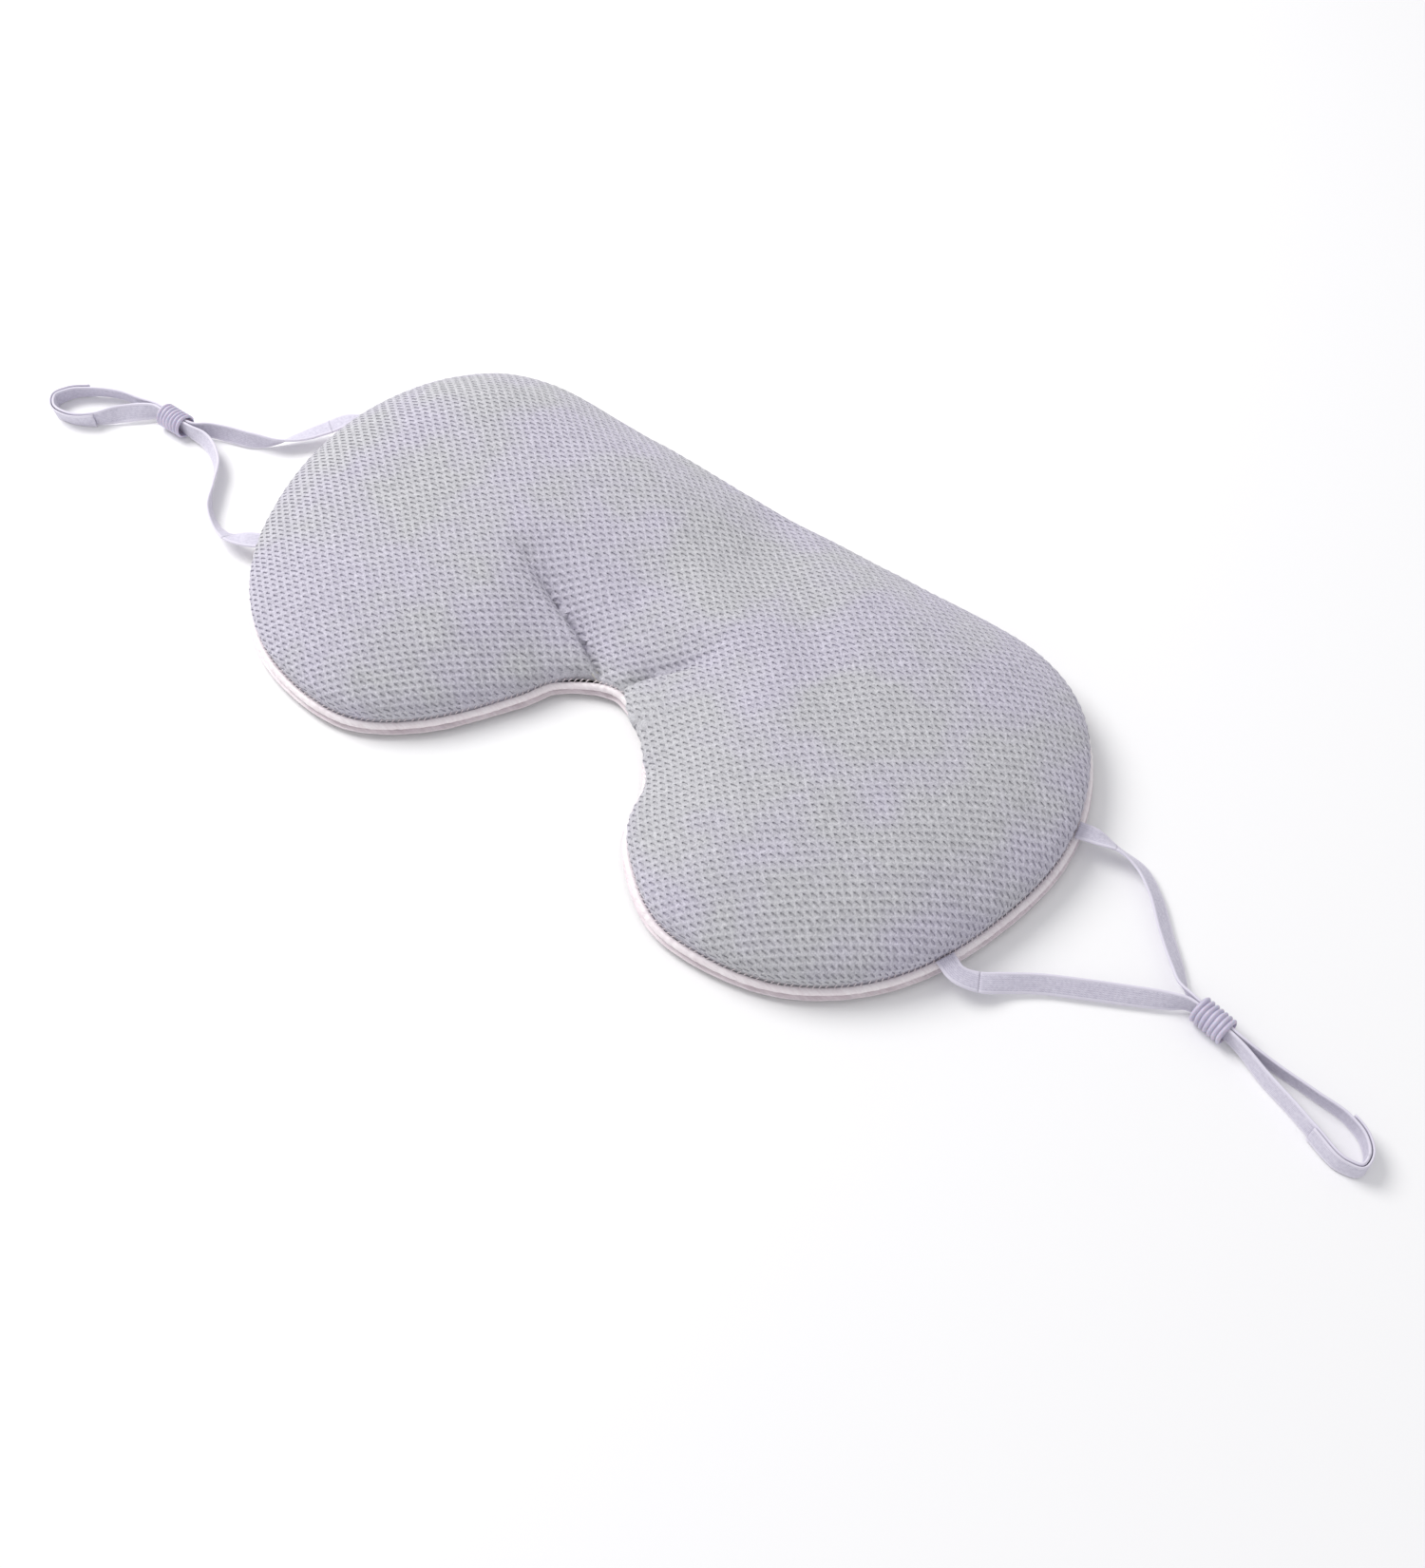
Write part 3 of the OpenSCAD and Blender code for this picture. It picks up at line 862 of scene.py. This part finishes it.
def tape_frame(points, roll):
    """The directions across the tape and out of its face, turned by roll."""
    along = unit(np.gradient(points, axis=0))
    across = unit(np.cross([0, 0, 1.0], along))
    above = np.cross(along, across)
    c, s = np.cos(np.radians(roll))[:, None], np.sin(np.radians(roll))[:, None]
    return across * c + above * s, above * c - across * s


def tape_profile(thick):
    """Section of flat elastic, as (across, off the face): a ribbed web between two rounded selvedges."""
    half = TAPE_W / 2
    across = np.concatenate([
        [half, half - 0.12, half - 0.32, half - 0.55],
        np.linspace(half - 0.75, 0.75 - half, 7),
        [0.55 - half, 0.32 - half, 0.12 - half, -half],
    ])
    web = thick / 2
    height = np.concatenate([
        [0.06, 0.72 * web, 1.0 * web, 0.72 * web],
        web * (0.80 + 0.06 * np.array([0, 1, 0, 1, 0, 1, 0])),
        [0.72 * web, 1.0 * web, 0.72 * web, 0.06],
    ])
    top = np.column_stack([across, height])
    bottom = np.column_stack([across[::-1], -height[::-1]])
    return np.concatenate([top, bottom])


def tape(name, points, roll, run_at, offset=0.0, thick=TAPE_T):
    """A closed flat tape along its points, and the number of points round its section."""
    wide, face = tape_frame(points, roll)
    section = tape_profile(thick)
    rings = (
        points[:, None]
        + wide[:, None] * section[None, :, :1]
        + face[:, None] * (section[None, :, 1:] + offset)
    )
    count, sides = rings.shape[:2]
    values = {
        "tape_along": np.repeat(run_at, sides),
        "tape_across": np.tile(section[:, 0], count),
    }
    made = add_mesh(name, rings.reshape(-1, 3), rod_faces(count, sides), values=values)
    return faced_out(made), sides


stopper_low, stopper_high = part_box("left_stopper")
STOPPER_HALF = (stopper_high.x - stopper_low.x) / MM / 2
STOPPER_R = (stopper_high.z - stopper_low.z) / MM / 2
STOPPER_TURNS, RIBS, RIB_STEPS, BORE = 56, 7, 8, 2.5


def stopper_weights(points, centre, axis, run_at):
    """How far each point of a tape follows the stopper: fully inside it, not at all at root and tip."""
    inside = (points - centre) @ axis
    at = run_at[np.abs(inside) < STOPPER_HALF + 0.5]
    first, last = at.min(), at.max()
    weight = np.ones(len(points))
    before, after = run_at < first, run_at > last
    weight[before] = step01((run_at[before] - run_at[0]) / (first - run_at[0]))
    weight[after] = step01((run_at[-1] - run_at[after]) / (run_at[-1] - last))
    return weight


def joint_of(name):
    return next(j for j in frame["joints"] if j["name"] == name)


def stopper_place(side):
    """The middle of a stopper and the direction in which it slides towards its loop's tip."""
    low, high = (np.array(c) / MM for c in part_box(f"{side}_stopper"))
    return (low + high) / 2, np.array(joint_of(f"{side}_stopper_slide")["axis"], float)


def stopper(side):
    """A soft ribbed sleeve, a little uneven from the mould."""
    centre, axis = stopper_place(side)
    u = np.linspace(0, RIBS, RIBS * RIB_STEPS + 1)
    radius = STOPPER_R + 0.12 - 0.62 * (1 - np.abs(np.sin(np.pi * u)) ** 0.75)
    radius = np.minimum(radius, STOPPER_R + 0.1)
    x = (u / RIBS - 0.5) * 2 * STOPPER_HALF
    bore_x = np.linspace(STOPPER_HALF - 1, 1 - STOPPER_HALF, 4)
    outline = np.concatenate([
        [[-STOPPER_HALF + 0.25, BORE], [-STOPPER_HALF, BORE + 0.12]],
        np.column_stack([x, radius])[1:-1],
        [[STOPPER_HALF, BORE + 0.12], [STOPPER_HALF - 0.25, BORE]],
        np.column_stack([bore_x, np.full(len(bore_x), BORE)]),
    ])
    up = np.array([0, 0, 1.0])
    side_way = np.cross(up, axis)
    angle = angles(STOPPER_TURNS)[:, None]
    wobble = 0.06 * np.sin(3 * angle + outline[:, 0] * 0.9) + 0.05 * np.sin(2 * angle + 1)
    rings = (
        centre
        + axis * outline[None, :, :1]
        + (side_way * np.cos(angle)[..., None] + up * np.sin(angle)[..., None]) * outline[None, :, 1:]
        + axis * (wobble * (outline[:, 1] > BORE + 0.2))[..., None]
    )
    faces = net_faces(STOPPER_TURNS, len(outline))
    return faced_out(add_mesh(f"{side}_stopper_sleeve", rings.reshape(-1, 3), faces))


# ---- materials
def srgb(r, g, b):
    def one(c):
        c = c / 255
        return c / 12.92 if c <= 0.04045 else ((c + 0.055) / 1.055) ** 2.4
    return (one(r), one(g), one(b), 1.0)


class Paint:
    """A small helper to wire a node material."""

    def __init__(self, name, roughness, sheen=0.0, sheen_rough=0.5, subsurface=0.0, specular=0.5):
        self.material = bpy.data.materials.new(name)
        self.material.use_nodes = True
        self.tree = self.material.node_tree
        self.shader = self.tree.nodes["Principled BSDF"]
        self.set("Roughness", roughness)
        self.set("Sheen Weight", sheen)
        self.set("Sheen Roughness", sheen_rough)
        self.set("Specular IOR Level", specular)
        if subsurface:
            self.set("Subsurface Weight", subsurface)
            self.set("Subsurface Scale", 0.0015)

    def set(self, socket, value):
        self.shader.inputs[socket].default_value = value

    def feed(self, socket, value):
        """Gives a socket a number or colour, or joins it to another node's socket."""
        if isinstance(value, bpy.types.NodeSocket):
            self.tree.links.new(value, socket)
        else:
            socket.default_value = value

    def add(self, kind, values=None, **fields):
        node = self.tree.nodes.new(kind)
        for key, value in fields.items():
            setattr(node, key, value)
        for key, value in (values or {}).items():
            self.feed(node.inputs[key], value)
        return node

    def link(self, source, socket):
        self.tree.links.new(source, self.shader.inputs[socket])

    def place(self):
        return self.add("ShaderNodeTexCoord").outputs["Object"]

    def noise(self, where, scale, detail=2.0, rough=0.5):
        return self.add("ShaderNodeTexNoise", {
            "Vector": where, "Scale": scale, "Detail": detail, "Roughness": rough,
        }).outputs["Fac"]

    def attribute(self, name):
        return self.add("ShaderNodeAttribute", attribute_name=name).outputs["Fac"]

    def math(self, how, *values):
        return self.add("ShaderNodeMath", dict(enumerate(values)), operation=how).outputs[0]

    def ramp(self, value, low, high, colour_low, colour_high):
        node = self.add("ShaderNodeValToRGB", {0: value})
        for element, at, colour in zip(node.color_ramp.elements, (low, high), (colour_low, colour_high)):
            element.position = at
            element.color = colour
        return node.outputs["Color"]

    def mix(self, share, a, b, how="MIX"):
        """Two colours mixed. Sockets 0, 6 and 7 are a colour mix's share, A and B."""
        node = self.add("ShaderNodeMix", data_type="RGBA", blend_type=how)
        for number, value in ((0, share), (6, a), (7, b)):
            self.feed(node.inputs[number], value)
        return node.outputs[2]

    def bump(self, height, strength, distance):
        node = self.add("ShaderNodeBump", {"Height": height, "Strength": strength, "Distance": distance})
        self.link(node.outputs["Normal"], "Normal")


def knit_material(name, light, dark):
    """Knitted mesh thread: fine loops, slight thread-to-thread change and faint cloudy tone."""
    p = Paint(name, 0.82, sheen=0.25, sheen_rough=0.6, specular=0.3)
    where = p.place()
    loops = p.noise(where, 2600, 2.0, 0.6)
    clouds = p.noise(where, 38, 3.0, 0.5)
    tone = p.attribute("thread_tone")
    base = p.ramp(loops, 0.34, 0.66, dark, light)
    warm = p.ramp(clouds, 0.42, 0.6, srgb(246, 244, 252), srgb(243, 245, 242))
    base = p.mix(1.0, base, warm, "MULTIPLY")
    level = p.math("MULTIPLY_ADD", tone, 0.05, 0.97)
    shade = p.add("ShaderNodeCombineColor", {"Red": level, "Green": level, "Blue": level}).outputs[0]
    p.link(p.mix(1.0, base, shade, "MULTIPLY"), "Base Color")
    p.bump(loops, 0.5, 0.00012)
    return p.material


def painted_slit_shade(name):
    """The inside of a slit, painted near-black: painted shade standing in for the shadow deep in the slit."""
    p = Paint(name, 0.9, specular=0.2)
    loops = p.noise(p.place(), 2200, 2.0)
    p.link(p.ramp(loops, 0.3, 0.7, srgb(34, 33, 41), srgb(58, 56, 67)), "Base Color")
    return p.material


def satin_material(name, light, dark, scale=420):
    """Satin: fine running threads with a streaky gloss, and a faint cloudy tone."""
    p = Paint(name, 0.38, sheen=0.35, sheen_rough=0.3, specular=0.55)
    where = p.place()
    mapping = p.add("ShaderNodeMapping", {"Vector": where, "Scale": (1.0, 6.0, 1.0)}).outputs[0]
    threads = p.noise(mapping, scale, 3.0, 0.6)
    clouds = p.noise(where, 90, 2.0)
    base = p.ramp(threads, 0.3, 0.7, dark, light)
    cloudy = p.ramp(clouds, 0.35, 0.65, srgb(236, 226, 231), srgb(252, 250, 250))
    p.link(p.mix(0.3, base, cloudy, "MULTIPLY"), "Base Color")
    p.link(p.math("MULTIPLY_ADD", threads, 0.18, 0.3), "Roughness")
    p.bump(threads, 0.25, 0.00012)
    return p.material


def thread_material(name):
    """Sewing thread with its twist."""
    p = Paint(name, 0.6, sheen=0.2, specular=0.4)
    wave = p.add("ShaderNodeTexWave", {"Vector": p.place(), "Scale": 900.0, "Distortion": 2.0})
    twist = wave.outputs["Fac"]
    p.link(p.ramp(twist, 0.2, 0.8, srgb(214, 202, 206), srgb(240, 232, 234)), "Base Color")
    p.bump(twist, 0.3, 0.00008)
    return p.material


RIB_PITCH, WALE_PITCH, SELVEDGE = 0.62, 0.46, 0.62


def elastic_material(name):
    """Flat knitted elastic: cross ribs, lengthwise wales and a plain pale selvedge."""
    p = Paint(name, 0.72, sheen=0.25, sheen_rough=0.5, specular=0.35)
    along, across = p.attribute("tape_along"), p.attribute("tape_across")
    ribs = p.math("SINE", p.math("MULTIPLY", along, 2 * math.pi / RIB_PITCH))
    wales = p.math("SINE", p.math("MULTIPLY", across, 2 * math.pi / WALE_PITCH))
    weave = p.math("MULTIPLY", ribs, wales)
    height = p.math("MULTIPLY_ADD", weave, 0.35, p.math("MULTIPLY", wales, 0.3))
    level = p.math("MULTIPLY_ADD", height, 0.5, 0.5)
    fuzz = p.noise(p.place(), 1500, 2.0)
    level = p.math("MULTIPLY_ADD", fuzz, 0.5, p.math("MULTIPLY", level, 0.6))
    edge = p.math("GREATER_THAN", p.math("ABSOLUTE", across), TAPE_W / 2 - SELVEDGE)
    base = p.ramp(level, 0.25, 0.85, srgb(180, 175, 194), srgb(230, 227, 239))
    p.link(p.mix(edge, base, srgb(222, 218, 231)), "Base Color")
    p.bump(level, 0.45, 0.00015)
    return p.material


def stopper_material(name):
    """Soft silicone with a fine grain."""
    p = Paint(name, 0.42, subsurface=0.12, specular=0.45)
    where = p.place()
    grain = p.noise(where, 700, 3.0)
    clouds = p.noise(where, 160, 2.0)
    p.link(p.ramp(clouds, 0.35, 0.65, srgb(190, 185, 206), srgb(206, 201, 220)), "Base Color")
    p.link(p.math("MULTIPLY_ADD", grain, 0.2, 0.34), "Roughness")
    p.bump(grain, 0.15, 0.00008)
    return p.material


def plain_weave(name, light, dark, scale):
    """Plain woven cloth for the hidden layers."""
    p = Paint(name, 0.85, specular=0.2)
    where = p.place()
    a = p.add("ShaderNodeTexWave", {"Vector": where, "Scale": scale}, bands_direction="X").outputs["Fac"]
    b = p.add("ShaderNodeTexWave", {"Vector": where, "Scale": scale}, bands_direction="Y").outputs["Fac"]
    weave = p.math("MULTIPLY", a, b)
    p.link(p.ramp(weave, 0.1, 0.8, dark, light), "Base Color")
    p.bump(weave, 0.4, 0.0001)
    return p.material


def dress(piece, *materials):
    piece.data.materials.clear()
    for m in materials:
        piece.data.materials.append(m)


def fitted(piece, body, stands_for, slot, *materials):
    """Gives a piece its materials, the body it rides on and the CAD node it replaces; the slot is not used.
    """
    dress(piece, *materials)
    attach(piece, body)
    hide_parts(stands_for)


mesh_thread = knit_material("knitted_mesh", srgb(217, 215, 221), srgb(184, 182, 190))
slit_shade = painted_slit_shade("slit_shade")
satin = satin_material("satin_cream", srgb(251, 247, 248), srgb(238, 229, 232))
satin_back = satin_material("satin_lining", srgb(240, 233, 236), srgb(222, 212, 217), 300)
sewing = thread_material("sewing_thread")
elastic = elastic_material("flat_elastic")
rubber = stopper_material("soft_stopper")
foam = plain_weave("wadding", srgb(240, 238, 230), srgb(218, 215, 206), 300)
black = plain_weave("blackout_cloth", srgb(40, 40, 44), srgb(20, 20, 23), 500)

fitted(panel, "mask", "front_mesh_panel", "mesh", mesh_thread, slit_shade)
fitted(wadding, "mask", "filling_pad", "padding", foam)
fitted(cover, "mask", "piping_cover", "satin", satin)
fitted(back, "mask", "back_lining", "satin", satin_back)
fitted(black_sheet, "mask", "blackout_layer", "blackout", black)
fitted(core, "mask", "piping_cord", "padding", foam)
fitted(thread, "mask", "seam_thread", "thread", sewing)


def add_root(side, which, line, roll, run_at):
    """The sewn end of a tape, where it leaves the seam."""
    swing = joint_of(f"{side}_loop_swing")
    pivot, turn_axis = np.array(swing["pos_m"]) / MM, np.array(swing["axis"], float)
    root, _ = tape(f"{side}_{which}_root", line, roll, run_at)
    dress(root, elastic)
    away = line[-1] - pivot
    away = away - turn_axis * (away @ turn_axis)
    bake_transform(root)
    return root


def add_loop(side, route):
    """The two tapes of one ear loop, their sewn roots, the joining strip and the stopper."""
    centre, axis = stopper_place(side)
    points, roll, at, run = smooth_route(route)
    sleeve = stopper(side)
    fitted(sleeve, f"{side}_stopper", f"{side}_stopper", "stopper", rubber)

    joined = slice(np.searchsorted(at, run[STRIP_FROM]), np.searchsorted(at, run[STRIP_TO]) + 1)
    strip, _ = tape(f"{side}_joining_tape", points[joined], roll[joined], at[joined], STRIP_OFF, STRIP_T)
    fitted(strip, f"{side}_ear_loop", f"{side}_joining_strip", "elastic", elastic)

    tip = np.searchsorted(at, run[TIP])
    legs = {
        "upper": (points[: tip + 1], roll[: tip + 1], at[: tip + 1]),
        "lower": (points[tip:][::-1], -roll[tip:][::-1], (at[-1] - at[tip:])[::-1]),
    }
    for which, (line, rolls, runs) in legs.items():
        cut = int(np.searchsorted(runs, ROOT_LENGTH))
        root = add_root(side, which, line[: cut + 1], rolls[: cut + 1], runs[: cut + 1])
        line, rolls, runs = line[cut:], rolls[cut:], runs[cut:]
        long, sides = tape(f"{side}_{which}_tape", line, rolls, runs)
        dress(long, elastic)
        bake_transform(long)
        weight = np.repeat(stopper_weights(line, centre, axis, runs), sides)
        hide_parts(f"{side}_{which}_elastic")


add_loop("right", RIGHT_ROUTE)
add_loop("left", LEFT_ROUTE)


# ---- floor and light
def add_stage():
    """A pale floor just under the part."""
    mesh = bpy.data.meshes.new("floor")
    half = 3.0
    corners = [(-half, -half, 0), (half, -half, 0), (half, half, 0), (-half, half, 0)]
    mesh.from_pydata(corners, [], [(0, 1, 2, 3)])
    floor = bpy.data.objects.new("floor", mesh)
    floor.location.z = -0.1 * MM
    bpy.context.scene.collection.objects.link(floor)
    p = Paint("floor", 0.95, specular=0.1)
    p.set("Base Color", (0.95, 0.95, 0.95, 1))
    mesh.materials.append(p.material)


def add_light(name, place, aim, size, power, colour):
    data = bpy.data.lights.new(name, "AREA")
    data.shape = "DISK"
    data.size = size
    data.energy = power
    data.color = colour
    light = bpy.data.objects.new(name, data)
    light.location = place
    light.rotation_mode = "QUATERNION"
    light.rotation_quaternion = (Vector(aim) - Vector(place)).to_track_quat("-Z", "Y")
    bpy.context.scene.collection.objects.link(light)


add_stage()
add_light("key", (-0.68, -0.04, 0.74), (-0.02, 0, 0), 0.6, 7.6, (1, 0.99, 0.98))
add_light("fill", (0.9, -0.6, 0.9), (0, 0, 0), 1.2, 0.8, (0.97, 0.97, 1))
world = bpy.data.worlds.new("world")
world.use_nodes = True
world.node_tree.nodes["Background"].inputs["Color"].default_value = (0.97, 0.97, 1.0, 1)
world.node_tree.nodes["Background"].inputs["Strength"].default_value = 0.63
bpy.context.scene.world = world
bpy.context.scene.view_settings.view_transform = "Standard"
